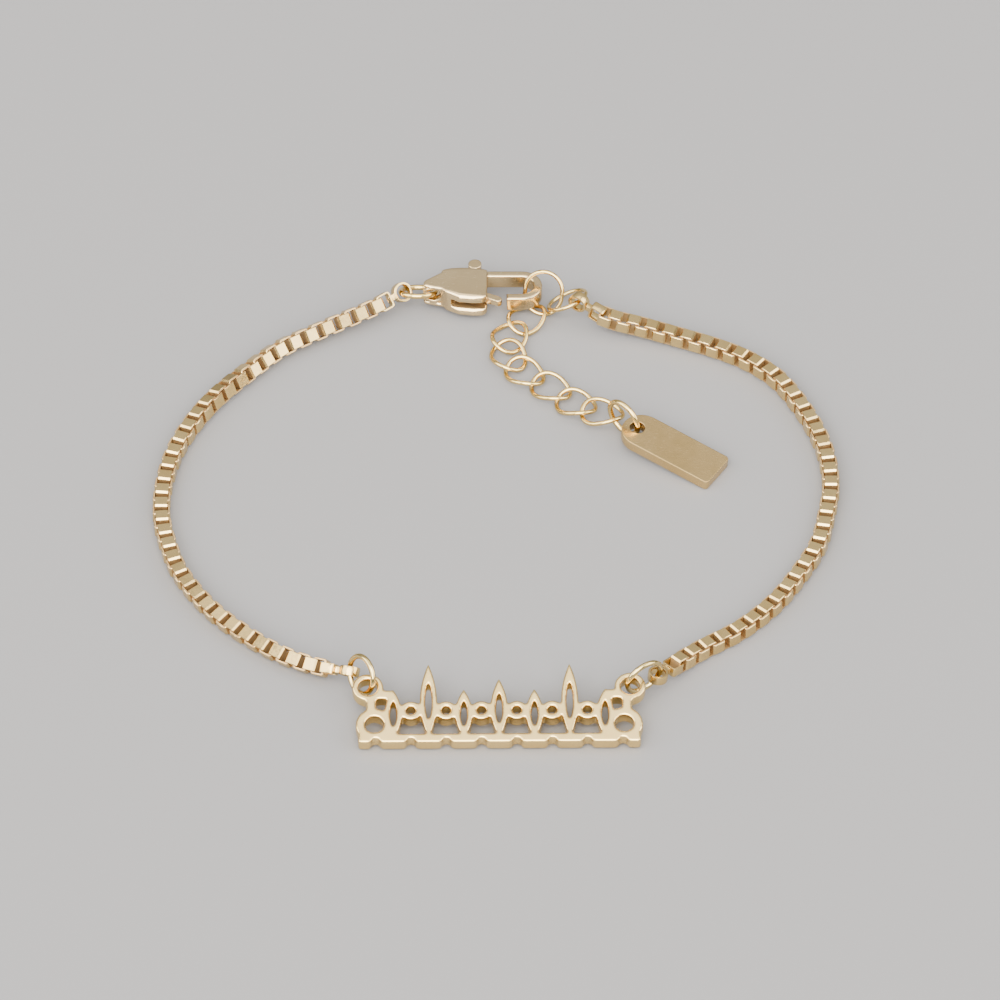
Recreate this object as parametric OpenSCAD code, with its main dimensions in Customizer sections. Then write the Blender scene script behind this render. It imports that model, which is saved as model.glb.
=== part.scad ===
// Nameplate bracelet: box chain, openwork plate, lobster clasp and a short extender with a plain tag.
// It lies open on a flat surface, z = 0. Millimetres, +Z up, the plate at the front (-Y), the clasp at the back.

/* [Loop] */
// Width of the open loop, between the middles of its two chain halves
loop_width = 54; // [48:1:60]
// Depth of the open loop, from the plate's foot to the pin of the clasp's lever
loop_depth = 51; // [46:1:56]

/* [Box chain] */
// Width of the box chain across its flats
chain_w = 1.4; // [1.2:0.1:1.8]
// Thickness of the band that each box link is bent from
link_t = 0.15; // [0.12:0.01:0.2]
// Distance between the middles of neighbouring links
link_pitch = 0.775; // [0.7:0.025:1.1]
// Clearance between a link's window and the link that passes through it
link_clear = 0.15; // [0.12:0.01:0.18]
// Free play along the chain at each joint
link_play = 0.18; // [0.12:0.01:0.2]
// Radius of a link's outer corners
link_corner_r = 0.24; // [0.2:0.02:0.3]
// Outer diameter of the eye soldered to each end of the chain
eye_d = 1.62; // [1.5:0.02:2]
// Height of the eye along its bore
eye_h = 0.75; // [0.5:0.05:0.9]
// Wall of the eye
eye_wall = 0.2; // [0.16:0.02:0.24]
// Free length of the neck between eye and link
neck_l = 0.35; // [0.3:0.05:0.6]
// Width of the neck
neck_w = 0.5; // [0.4:0.05:0.6]

/* [Plate] */
// Thickness of the plate
plate_t = 1.25; // [1:0.05:1.4]
// Distance between the middles of neighbouring leaves
leaf_pitch = 2.8; // [2.5:0.1:3.2]
// Width of a leaf at its middle
leaf_w = 1.4; // [1.2:0.1:1.7]
// Height of the low leaves
leaf_low_h = 5; // [4.6:0.1:6]
// Height of the middle leaf
leaf_mid_h = 6; // [5.4:0.1:7]
// Height of the two tall leaves
leaf_tall_h = 7.4; // [6.6:0.1:8.4]
// Width of the slit that pierces each leaf
slit_w = 0.5; // [0.4:0.05:0.7]
// Height of the small rings between the leaves
bead_h = 3; // [2.6:0.1:3.4]
// Bore of the small rings
bead_bore = 0.75; // [0.5:0.05:0.9]
// Height of the rail along the bottom
rail_h = 0.85; // [0.7:0.05:1.2]
// Radius of the notches under the rail
notch_r = 0.42; // [0.3:0.02:0.5]
// Outer diameter of the big ring at each end
end_ring_d = 3; // [2.7:0.1:3.4]
// Bore of the big ring at each end
end_ring_bore = 1.5; // [1.2:0.1:1.8]
// Outer diameter of the loop that takes the jump ring
loop_d = 2.5; // [2.3:0.1:3]
// Bore of that loop
loop_bore = 1.5; // [1.4:0.02:1.7]
// Height of the loop's middle above the plate's foot
loop_h = 5.2; // [4.9:0.1:5.5]
// Distance from the outer leaf to the loop's middle
loop_reach = 2; // [1.8:0.1:2.4]

/* [Jump rings] */
// Wire of the jump rings
jump_wire = 0.45; // [0.36:0.01:0.5]
// Outer diameter of the left plate ring
plate_ring_left_d = 3.5; // [3.3:0.1:4]
// Outer diameter of the right plate ring
plate_ring_right_d = 3.55; // [3.35:0.1:4]
// Outer diameter of the ring on the clasp
clasp_ring_d = 3.25; // [3.05:0.1:3.8]
// Outer diameter of the ring between extender and chain
chain_ring_d = 3.6; // [3.4:0.1:4.2]
// Wire of the ring between extender and chain
chain_ring_wire = 0.34; // [0.3:0.01:0.4]
// Outer diameter of the ring on the tag
tag_ring_d = 3.5; // [3.3:0.1:4]

/* [Clasp] */
// Length of the clasp's body
clasp_l = 3.85; // [3.6:0.05:4.4]
// Width of the clasp's body
clasp_w = 3.8; // [3.6:0.1:4.4]
// Thickness of the clasp's body
clasp_t = 2.1; // [1.9:0.05:2.5]
// Height at which the clasp's underside lies above the surface
clasp_lift = 0.5; // [0.4:0.05:0.7]
// Thickness of the hook
hook_t = 1.3; // [1:0.05:1.4]
// Width of the hook's metal
hook_w = 0.68; // [0.6:0.02:0.8]
// Inner radius of the hook's bend
hook_r = 0.98; // [0.96:0.02:1.1]
// Length of the hook's straight part beyond the body
hook_reach = 4.5; // [4.4:0.1:5]
// Length of the hook's nose, from the bend back towards the body
nose_l = 1.25; // [1.1:0.05:1.4]
// Thickness of the lever
lever_t = 0.6; // [0.5:0.05:0.8]
// Length of the lever's arm, from its pin to its tip
lever_l = 3.45; // [3.3:0.05:3.55]
// Width of the lever's arm
lever_w = 0.62; // [0.5:0.02:0.72]
// Diameter of the lever's pin
pin_d = 0.5; // [0.4:0.02:0.6]
// Radial clearance between the pin and the lever's bore
pin_clear = 0.05; // [0.03:0.01:0.08]
// Clearance between the lever and the slot that it lies in, on each side
slot_clear = 0.08; // [0.06:0.01:0.12]
// Diameter of the lever's thumb knob
knob_d = 1.1; // [0.9:0.05:1.3]
// Thickness of the thumb knob
knob_t = 1.2; // [0.8:0.1:1.5]
// Angle that the lever opens through
lever_swing = 25; // [15:1:30]
// Diameter of the clasp's tail eye
tail_d = 1.7; // [1.6:0.05:2]
// Bore of the tail eye
tail_bore = 1.16; // [1.1:0.02:1.24]
// Thickness of the tail eye
tail_t = 0.6; // [0.5:0.05:0.7]
// Thickness of each web that narrows from the body's end to the tail eye
tail_web_t = 0.3; // [0.25:0.05:0.4]

/* [Extender] */
// Wire of the extender's links
extender_wire = 0.33; // [0.28:0.01:0.36]
// Length of an extender link over its wire
extender_l = 3.8; // [3.6:0.1:4.4]
// Width of an extender link over its wire
extender_w = 3.1; // [2.7:0.1:3.4]
// Rise of a link's wire out of its middle plane, which twists the link
extender_twist = 0.3; // [0.24:0.01:0.32]
// Half width of the oval that hangs in the hook, to the middle of its wire
hook_ring_r = 1.54; // [1.48:0.02:1.7]
// Length of the straight stretch on each side of that oval
hook_ring_straight = 0.5; // [0.3:0.1:0.9]
// Wire of that oval
hook_ring_wire = 0.34; // [0.28:0.01:0.36]

/* [Tag] */
// Length of the tag
tag_l = 9; // [7:0.5:12]
// Width of the tag
tag_w = 3.5; // [2.8:0.1:4]
// Thickness of the tag
tag_t = 0.9; // [0.6:0.05:1]
// Bore for the jump ring
tag_bore = 1.2; // [1:0.02:1.3]
// Distance from the tag's end to the middle of the bore
tag_bore_inset = 1.2; // [1.1:0.05:1.5]
// Radius of the corners at the free end
tag_corner_r = 0.35; // [0.2:0.05:0.6]

/* [Hidden] */
$fn = 48;

gold = [0.86, 0.77, 0.6];
pale_gold = [0.91, 0.83, 0.7];
satin_gold = [0.76, 0.68, 0.54];
// Extra length that lets a cutter run past the face it opens
past = 1;

// Middle of the whole bracelet's outline, which becomes the origin
middle = [0.03, 0.53, 0];

// A vector turned the way rotate([lean, 0, turn]) turns a solid
function turned(v, lean, turn) =
    let (y = v[1] * cos(lean) - v[2] * sin(lean), z = v[1] * sin(lean) + v[2] * cos(lean))
    [v[0] * cos(turn) - y * sin(turn), v[0] * sin(turn) + y * cos(turn), z];
function unit(v) = v / norm(v);
// Direction from a ring's middle to its wire at the angle a
function ring_dir(pose, a) = turned([cos(a), sin(a), 0], pose[1], pose[0]);
// Radius of a ring to the middle of its wire
function ring_r(d, wire) = (d - wire) / 2;

// Point of the loop, from its place on a loop of 54 by 51
function on_loop(p) = [p[0] * loop_width / 54, p[1] * loop_depth / 51, p[2]];

// The plate stands on its front edge and leans back on its rings
plate_at = on_loop([0.28, -26.15, 0]);
plate_lean = 12;
plate_turn = 0.5;
leaf_tall = [leaf_low_h, leaf_tall_h, leaf_low_h, leaf_mid_h, leaf_low_h, leaf_tall_h, leaf_low_h];
leaf_last = len(leaf_tall) - 1;
leaf_span = leaf_last * leaf_pitch / 2;
loop_a = leaf_span + loop_reach;
function plate_point(a, h, n) = plate_at + turned([a, h, n], plate_lean, plate_turn);

// Poses of the rings: turn about the vertical, lean of the ring's plane
plate_ring_left_pose = [-56, 72];
plate_ring_right_pose = [-147, 82];
clasp_ring_pose = [180, 29];
hook_ring_pose = [-14, 60];
chain_ring_pose = [-134, 32];
tag_ring_pose = [136, 88];

// Where the plate rings pass their loops, and how far round them the chain's eyes sit
left_seat = plate_point(-loop_a + 0.14, loop_h, plate_t / 2);
left_r = ring_r(plate_ring_left_d, jump_wire);
left_ring_at = left_seat - left_r * ring_dir(plate_ring_left_pose, -20);
left_front_eye = left_ring_at + left_r * ring_dir(plate_ring_left_pose, 205);
right_seat = plate_point(loop_a - 0.14, loop_h + 0.1, plate_t / 2);
right_r = ring_r(plate_ring_right_d, jump_wire);
right_ring_at = right_seat - right_r * ring_dir(plate_ring_right_pose, -20);
right_front_eye = right_ring_at + right_r * ring_dir(plate_ring_right_pose, 207);

// The clasp, placed by its lever's pin, with its tail eye and the ring in it
clasp_at = on_loop([-2.7, 24.5, clasp_lift]);
clasp_mid_z = clasp_t / 2;
body_left = -0.486 * clasp_l;
body_front = -0.513 * clasp_w;
tail_at = clasp_at + [body_left + 0.05 - tail_bore / 2, -0.4, clasp_mid_z + 0.1];
clasp_r = ring_r(clasp_ring_d, jump_wire);
clasp_ring_at = tail_at + [0.06, 0, 0] - clasp_r * ring_dir(clasp_ring_pose, 165);
left_back_eye = clasp_ring_at + clasp_r * ring_dir(clasp_ring_pose, 0);

// The hook's bend, the oval that stands in it, and the ring that joins the oval to the right chain
ring_gap = 0.12;
// Where the oval's wire stands, from the middle of the bend
hook_hang = [0.26, -0.1];
body_right = body_left + clasp_l;
hook_bend = [body_right + hook_reach - hook_r - hook_w, 0];
function oval_point(a, inset) = turned([(hook_ring_r - inset) * cos(a),
    (hook_ring_r - inset) * sin(a) + sign(sin(a)) * hook_ring_straight / 2, 0], hook_ring_pose[1], hook_ring_pose[0]);
hook_ring_at = clasp_at + [hook_bend[0] + hook_hang[0], hook_bend[1] + hook_hang[1], -clasp_lift + hook_ring_wire / 2
    + (hook_ring_r + hook_ring_straight / 2) * sin(hook_ring_pose[1])] - hook_ring_r * ring_dir(hook_ring_pose, 180);
chain_ring_r = ring_r(chain_ring_d, chain_ring_wire);
chain_ring_seat = hook_ring_at + oval_point(-56, (hook_ring_wire + chain_ring_wire) / 2 + ring_gap);
chain_ring_at = chain_ring_seat - chain_ring_r * ring_dir(chain_ring_pose, -38);
right_back_eye = chain_ring_at + chain_ring_r * ring_dir(chain_ring_pose, 90);

// Routes of the two halves of the chain, from the back eye to the front eye
left_points = [[-9.4, 23.1, 1.4], [-11.7, 21.8, 1.2], [-14.5, 20.3, 1], [-17.5, 18.4, 0.9], [-20, 15.9, 0.85],
    [-22.6, 12.9, 0.82], [-24.5, 9.9, 0.78], [-26, 6.4, 0.75], [-26.8, 2.5, 0.75], [-26.9, -1, 0.75],
    [-26.3, -4.2, 0.75], [-25.2, -7.5, 0.78], [-23, -11.1, 0.82], [-20.5, -13.8, 0.85], [-17.5, -16.2, 0.85],
    [-14.5, -17.8, 0.95]];
right_points = [[9, 21.4, 1.5], [12, 20.7, 1.05], [15, 19.7, 0.85], [18, 18.5, 0.78], [20.5, 17.1, 0.75],
    [22.8, 15, 0.75], [24.5, 12.2, 0.75], [25.9, 9, 0.75], [26.7, 6, 0.75], [27, 2.5, 0.75], [26.6, -0.7, 0.75],
    [25.9, -4, 0.75], [24.4, -7.2, 0.75], [22.3, -10.6, 0.75], [19.5, -13.6, 0.75], [16.2, -16, 0.8]];
left_route = concat([left_back_eye], [for (p = left_points) on_loop(p)], [left_front_eye]);
right_route = concat([right_back_eye], [for (p = right_points) on_loop(p)], [right_front_eye]);

// Smooth curve through a list of points, in steps pieces for each span
steps = 8;
function clamped(p, i) = p[max(0, min(len(p) - 1, i))];
function spline(a, b, c, d, t) = 0.5 * (2 * b + (c - a) * t + (2 * a - 5 * b + 4 * c - d) * t * t
    + (3 * b - 3 * c + d - a) * t * t * t);
function smooth(p) = concat([for (i = [0:len(p) - 2]) for (k = [0:steps - 1])
    spline(clamped(p, i - 1), p[i], p[i + 1], clamped(p, i + 2), k / steps)], [p[len(p) - 1]]);
function distances(q) = [for (i = 0, s = 0; i < len(q); s = s + norm(clamped(q, i + 1) - q[i]), i = i + 1) s];
// Tables of x, y and z against the distance along the route
function along(q) = let (s = distances(q)) [for (axis = [0:2]) [for (i = [0:len(q) - 1]) [s[i], q[i][axis]]]];
function place(table, s) = [for (axis = [0:2]) lookup(s, table[axis])];
function route_length(table) = table[0][len(table[0]) - 1][0];

// Frame of a link: its length along the route, rolled about it by the roll there and a further quarter or none
function link_frame(table, s, rolls, quarter) =
    let (roll = lookup(s / route_length(table), rolls) + quarter,
        t = unit(place(table, s + link_pitch / 2) - place(table, s - link_pitch / 2)),
        side = unit(cross([0, 0, 1], t)), top = cross(t, side),
        n = side * cos(roll) + top * sin(roll), b = top * cos(roll) - side * sin(roll), p = place(table, s) - middle)
    [[t[0], n[0], b[0], p[0]], [t[1], n[1], b[1], p[1]], [t[2], n[2], b[2], p[2]], [0, 0, 0, 1]];

// Box link: outer length, and the width of its band, which just passes the next link's window
link_l = link_pitch + 2 * link_t + link_play;
band_w = chain_w - 2 * (link_t + link_clear);
end_gap = eye_d / 2 + neck_l + link_l / 2;
left_table = along(smooth(left_route));
right_table = along(smooth(right_route));
// Number of links in a half: the spans between them are even where both end links lie the same way, else odd
function link_count(table, spans) = 1 + spans
    + 2 * round(((route_length(table) - 2 * end_gap) / link_pitch - spans) / 2);
function link_s(table, i, count) = end_gap + i * (route_length(table) - 2 * end_gap) / (count - 1);
left_count = link_count(left_table, 0);
right_count = link_count(right_table, 1);
// Roll of each half against the share of its route: the left half turns on edge towards its ends
left_rolls = [[0, 135], [0.22, 130], [0.42, 90], [0.6, 90], [0.84, 110], [1, 135]];
right_rolls = [[0, 90], [1, 90]];

// Extender: one row a link, with its height, its heading, and the step to the next link as a share of its length
link_z = 0;
link_heading = 1;
step_share = 2;
step_heading = 3;
extender = [[0.5, -125, 0.68, -123], [0.52, -108, 0.6, -92], [0.52, -73, 0.62, -56], [0.52, -47, 0.73, -40],
    [0.52, -41, 0.73, -43], [0.6, -38, 0.66, -32], [0.9, -20, 0, 0]];
// Wire of a link: an ellipse whose sides dip and rise
function link_curve(a) = [(extender_l - extender_wire) / 2 * cos(a), (extender_w - extender_wire) / 2 * sin(a),
    -extender_twist * sin(2 * a)];
extender_seat = hook_ring_at + oval_point(-83, (hook_ring_wire + extender_wire) / 2 + ring_gap);
extender_first = extender_seat - turned(link_curve(158), 0, extender[0][link_heading]);
function step(i) = extender_l * extender[i][step_share]
    * [cos(extender[i][step_heading]), sin(extender[i][step_heading])];
function extender_xy(i) = i == 0 ? [extender_first[0], extender_first[1]] : extender_xy(i - 1) + step(i - 1);
function extender_at(i) = [extender_xy(i)[0], extender_xy(i)[1], extender[i][link_z]];

// The ring through the last extender link stands on the surface, and the tag slopes down from it
extender_last = len(extender) - 1;
// How far the ring has slipped from the link's far end, along the link and across it
tag_ring_slip = [-0.2, -0.25];
tag_r = ring_r(tag_ring_d, jump_wire);
tag_ring_seat = extender_at(extender_last) + turned(
    [extender_l / 2 - extender_wire - jump_wire / 2 - ring_gap + tag_ring_slip[0], tag_ring_slip[1], 0],
    0, extender[extender_last][link_heading]);
tag_ring_reach = tag_ring_seat - tag_r * ring_dir(tag_ring_pose, -36);
tag_ring_at = [tag_ring_reach[0], tag_ring_reach[1], tag_ring_d / 2];
tag_seat = tag_ring_at + tag_r * ring_dir(tag_ring_pose, 200);
tag_heading = -32.5;
tag_slope = asin((tag_seat[2] - tag_t / 2) / (tag_l - tag_bore_inset));

// One jump ring of round wire
module jump_ring(at, d, wire, pose)
    color(gold)
        translate(at - middle)
            rotate([pose[1], 0, pose[0]])
                rotate_extrude()
                    translate([ring_r(d, wire), 0])
                        circle(d = wire);

// Pointed leaf, made where two equal circles overlap
module leaf(l, w) {
    r = (l * l + w * w) / (4 * w);
    intersection() {
        translate([w / 2 - r, 0])
            circle(r, $fn = 96);
        translate([r - w / 2, 0])
            circle(r, $fn = 96);
    }
}

module plate_leaves() {
    foot = rail_h / 2;
    for (i = [0:leaf_last])
        translate([i * leaf_pitch - leaf_span, (leaf_tall[i] + foot) / 2])
            leaf(leaf_tall[i] - foot, leaf_w);
}

module plate_slits() {
    slit_share = 0.52;
    for (i = [0:leaf_last])
        translate([i * leaf_pitch - leaf_span, leaf_tall[i] / 2 + rail_h / 4])
            leaf(leaf_tall[i] * slit_share, slit_w);
}

// Small rings that bridge the gaps between neighbouring leaves
module plate_beads(d) {
    for (i = [0:leaf_last - 1])
        translate([(i + 0.5) * leaf_pitch - leaf_span, bead_h])
            circle(d = d);
}

// What each end of the plate adds, drawn for the right end
module plate_end() {
    post_w = 0.8;
    ring_a = leaf_span + end_ring_d / 2;
    translate([ring_a, end_ring_d / 2 + rail_h / 4])
        circle(d = end_ring_d);
    translate([loop_a, loop_h])
        circle(d = loop_d);
    translate([ring_a - post_w / 2 + 0.25, end_ring_d])
        square([post_w, loop_h - end_ring_d - loop_bore / 2]);
    translate([leaf_span, loop_h - loop_bore / 2 - 0.35])
        square([loop_reach, post_w]);
}

module plate_end_bores() {
    translate([leaf_span + end_ring_d / 2, end_ring_d / 2 + rail_h / 4])
        circle(d = end_ring_bore);
    translate([loop_a, loop_h])
        circle(d = loop_bore);
}

module nameplate() {
    bead_d = leaf_pitch - leaf_w + 0.35;
    rail_a = leaf_span + end_ring_d - 0.2;
    color(pale_gold)
        translate(plate_at - middle)
            rotate([plate_lean, 0, plate_turn])
                linear_extrude(plate_t)
                    difference() {
                        union() {
                            translate([-rail_a, 0])
                                square([2 * rail_a, rail_h]);
                            plate_leaves();
                            plate_beads(bead_d);
                            plate_end();
                            mirror([1, 0])
                                plate_end();
                        }
                        plate_slits();
                        plate_beads(bead_bore);
                        plate_end_bores();
                        mirror([1, 0])
                            plate_end_bores();
                        for (i = [-1:leaf_last])
                            translate([(i + 0.5) * leaf_pitch - leaf_span, 0])
                                circle(notch_r);
                    }
}

function corner(x, y, r, from, parts) = [for (k = [0:parts]) [x + r * cos(from + k * 90 / parts),
    y + r * sin(from + k * 90 / parts)]];
function rounded(l, w, r, parts) = concat(corner(l / 2 - r, w / 2 - r, r, 0, parts),
    corner(r - l / 2, w / 2 - r, r, 90, parts), corner(r - l / 2, r - w / 2, r, 180, parts),
    corner(l / 2 - r, r - w / 2, r, 270, parts));

// One box link: a flat band bent into a closed rectangle with rounded corners
module box_link() {
    outside = rounded(link_l, chain_w, link_corner_r, 3);
    inside = rounded(link_l - 2 * link_t, chain_w - 2 * link_t, link_corner_r - link_t, 1);
    count = len(outside);
    linear_extrude(band_w, center = true)
        polygon(concat(outside, inside),
            [[for (k = [0:count - 1]) k], [for (k = [0:len(inside) - 1]) count + k]]);
}

module box_chain(table, count, rolls) {
    color(gold)
        for (i = [1:count - 2])
            multmatrix(link_frame(table, link_s(table, i, count), rolls, 90 * (i % 2)))
                box_link();
}

// Last link with the eye soldered to it; side is -1 at the start of the route and 1 at its end
module chain_end(table, count, rolls, side) {
    eye_at = side * end_gap;
    i = side < 0 ? 0 : count - 1;
    color(gold)
        multmatrix(link_frame(table, link_s(table, i, count), rolls, 90 * (i % 2)))
            difference() {
                union() {
                    box_link();
                    translate([side * (link_l + neck_l) / 2, 0, 0])
                        cube([neck_l + link_t + eye_wall, neck_w, neck_w], center = true);
                    translate([eye_at, 0, 0])
                        cylinder(h = eye_h, d = eye_d, center = true);
                }
                translate([eye_at, 0, 0])
                    cylinder(h = eye_h + past, d = eye_d - 2 * eye_wall, center = true);
            }
}

// Outline of the clasp's body, each point as a share of its length and width
body_outline = [[0, 0.34], [0, 0.7], [0.03, 0.84], [0.1, 0.94], [0.22, 0.99], [0.4, 1], [0.62, 1], [0.85, 0.95],
    [1, 0.86], [1, 0.13], [0.97, 0.06], [0.9, 0.01], [0.7, 0], [0.4, 0.04], [0.15, 0.17]];
lever_rest = -24;
knob_angle = 69;
knob_out = 2.7;
hub_d = 1.5;
slot_h = lever_t + 2 * slot_clear;
// Reach of the lever's slot from its pin: past the body's corners, short of the hook
slot_reach = 0.78 * clasp_l;

// Wedge from the pin outwards, between two angles
module wedge(from, to, l)
    polygon([[0, 0], l * [cos(from), sin(from)], l * [cos((from + to) / 2), sin((from + to) / 2)] * 1.1,
        l * [cos(to), sin(to)]]);

// Bent hook with its nose, drawn in the clasp's plane
module hook_outline() {
    outer_r = hook_r + hook_w;
    root = body_right - 1;
    difference() {
        union() {
            translate(hook_bend)
                circle(outer_r);
            translate([root, hook_bend[1] + hook_r])
                square([hook_bend[0] - root, hook_w]);
            translate([hook_bend[0] - nose_l, hook_bend[1] - outer_r])
                square([nose_l, hook_w]);
        }
        translate(hook_bend)
            circle(hook_r);
        translate([hook_bend[0] - outer_r - past, hook_bend[1] - hook_r])
            square([outer_r + past, 2 * hook_r]);
    }
}

// Web over the tail eye, drawn in the clasp's plane
module tail_web() {
    tip = body_left + 0.05 - (tail_bore + tail_d) / 2;
    polygon([[body_left + 0.2, 1.2], [tip + 0.1, 0.15], [tip, -0.1], [tip + 0.1, -0.5], [tip + 0.8, -0.7],
        [body_left + 0.2, -0.9]]);
}

module clasp_body() {
    slot_z = clasp_mid_z - slot_h / 2;
    color(satin_gold)
        translate(clasp_at - middle)
            difference() {
                union() {
                    difference() {
                        union() {
                            linear_extrude(clasp_t)
                                polygon([for (p = body_outline)
                                    [body_left + p[0] * clasp_l, body_front + p[1] * clasp_w]]);
                            translate([0, 0, clasp_mid_z - hook_t / 2])
                                linear_extrude(hook_t)
                                    hook_outline();
                            for (z = [0, clasp_t - tail_web_t])
                                translate([0, 0, z])
                                    linear_extrude(tail_web_t)
                                        tail_web();
                        }
                        translate([0, 0, slot_z])
                            linear_extrude(slot_h) {
                                circle(d = hub_d + 4 * slot_clear);
                                wedge(-125, lever_rest + lever_swing + 15, slot_reach);
                                rotate(lever_rest + lever_swing)
                                    translate([0, -lever_w / 2 - slot_clear])
                                        square([slot_reach, lever_w + 2 * slot_clear]);
                                wedge(knob_angle - 17, knob_angle + lever_swing + 17, 2 * clasp_w);
                            }
                    }
                    cylinder(h = clasp_t, d = pin_d);
                    translate(tail_at - clasp_at)
                        rotate([90, 0, 0])
                            cylinder(h = tail_t, d = tail_d, center = true);
                }
                translate(tail_at - clasp_at)
                    rotate([90, 0, 0])
                        cylinder(h = tail_t + 2 * past, d = tail_bore, center = true);
            }
}

// Lever in its closed place: an arm to the nose, a hub on the pin and a thumb knob behind the body
module clasp_lever() {
    stem_w = 0.45;
    color(gold)
        translate(clasp_at - middle + [0, 0, clasp_mid_z - lever_t / 2])
            difference() {
                union() {
                    linear_extrude(lever_t) {
                        circle(d = hub_d);
                        rotate(lever_rest) {
                            translate([0, -lever_w / 2])
                                square([lever_l - lever_w / 2, lever_w]);
                            translate([lever_l - lever_w / 2, 0])
                                circle(d = lever_w);
                        }
                        rotate(knob_angle)
                            translate([0, -stem_w / 2])
                                square([knob_out, stem_w]);
                    }
                    rotate(knob_angle)
                        translate([knob_out, 0, (lever_t - knob_t) / 2])
                            cylinder(h = knob_t, d = knob_d);
                }
                translate([0, 0, -past])
                    cylinder(h = lever_t + 2 * past, d = pin_d + 2 * pin_clear);
            }
}

// Oval of round wire: two half circles joined by straight stretches
module hook_ring() {
    color(gold)
        translate(hook_ring_at - middle)
            rotate([hook_ring_pose[1], 0, hook_ring_pose[0]])
                for (side = [0, 180])
                    rotate(side) {
                        translate([0, hook_ring_straight / 2, 0])
                            rotate_extrude(angle = 180)
                                translate([hook_ring_r, 0])
                                    circle(d = hook_ring_wire);
                        translate([hook_ring_r, 0, 0])
                            rotate([90, 0, 0])
                                cylinder(h = hook_ring_straight, d = hook_ring_wire, center = true);
                    }
}

// Twisted oval link of round wire
wire_rings = 16;
wire_sides = 6;
function wire_point(a, b) =
    let (t = unit(link_curve(a + 1) - link_curve(a - 1)), side = unit(cross([0, 0, 1], t)), top = cross(t, side))
    link_curve(a) + extender_wire / 2 * (side * cos(b) + top * sin(b));
function wrapped(i, k) = (i % wire_rings) * wire_sides + k % wire_sides;

module twisted_link() {
    polyhedron([for (i = [0:wire_rings - 1]) for (k = [0:wire_sides - 1])
            wire_point(i * 360 / wire_rings, k * 360 / wire_sides)],
        [for (i = [0:wire_rings - 1]) for (k = [0:wire_sides - 1]) for (half = [0, 1])
            half == 0 ? [wrapped(i, k), wrapped(i + 1, k), wrapped(i, k + 1)]
                : [wrapped(i, k + 1), wrapped(i + 1, k), wrapped(i + 1, k + 1)]]);
}

module extender_link(i) {
    rise = asin((extender[min(i + 1, extender_last)][link_z] - extender[max(i - 1, 0)][link_z]) / extender_l);
    color(gold)
        translate(extender_at(i) - middle)
            rotate([0, -rise, extender[i][link_heading]])
                twisted_link();
}

module tag() {
    color(satin_gold)
        translate(tag_seat - middle)
            rotate([0, tag_slope, tag_heading])
                translate([-tag_bore_inset, 0, -tag_t / 2])
                    linear_extrude(tag_t)
                        difference() {
                            union() {
                                translate([tag_w / 2, 0])
                                    circle(d = tag_w);
                                translate([tag_w / 2, -tag_w / 2])
                                    square([tag_l - tag_w / 2 - tag_corner_r, tag_w]);
                                translate([tag_l - 2 * tag_corner_r, tag_corner_r - tag_w / 2])
                                    square([2 * tag_corner_r, tag_w - 2 * tag_corner_r]);
                                for (side = [-1, 1])
                                    translate([tag_l - tag_corner_r, side * (tag_w / 2 - tag_corner_r)])
                                        circle(tag_corner_r);
                            }
                            translate([tag_bore_inset, 0])
                                circle(d = tag_bore);
                        }
}

module plate_ring_left() { jump_ring(left_ring_at, plate_ring_left_d, jump_wire, plate_ring_left_pose); }
module plate_ring_right() { jump_ring(right_ring_at, plate_ring_right_d, jump_wire, plate_ring_right_pose); }
module clasp_ring() { jump_ring(clasp_ring_at, clasp_ring_d, jump_wire, clasp_ring_pose); }
module chain_ring() { jump_ring(chain_ring_at, chain_ring_d, chain_ring_wire, chain_ring_pose); }
module tag_ring() { jump_ring(tag_ring_at, tag_ring_d, jump_wire, tag_ring_pose); }

nameplate();
plate_ring_left();
plate_ring_right();
chain_end(left_table, left_count, left_rolls, 1);  // chain_end_left_front
chain_end(left_table, left_count, left_rolls, -1);  // chain_end_left_back
chain_end(right_table, right_count, right_rolls, 1);  // chain_end_right_front
chain_end(right_table, right_count, right_rolls, -1);  // chain_end_right_back
box_chain(left_table, left_count, left_rolls);  // box_chain_left
box_chain(right_table, right_count, right_rolls);  // box_chain_right
clasp_ring();
clasp_body();
clasp_lever();
hook_ring();
chain_ring();
extender_link(0);  // extender_link_1
extender_link(1);  // extender_link_2
extender_link(2);  // extender_link_3
extender_link(3);  // extender_link_4
extender_link(4);  // extender_link_5
extender_link(5);  // extender_link_6
extender_link(6);  // extender_link_7
tag_ring();
tag();
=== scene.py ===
"""Looks of a fine gold nameplate bracelet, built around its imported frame.

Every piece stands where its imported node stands: its middle and directions are
read from that node, so nothing is fitted by hand.
"""

from __future__ import annotations

import logging
import math
from dataclasses import dataclass, replace
from enum import Enum
from typing import Callable, Iterable

import bmesh
import bpy
import numpy as np
from mathutils import Matrix, Vector
from mathutils.bvhtree import BVHTree

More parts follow.
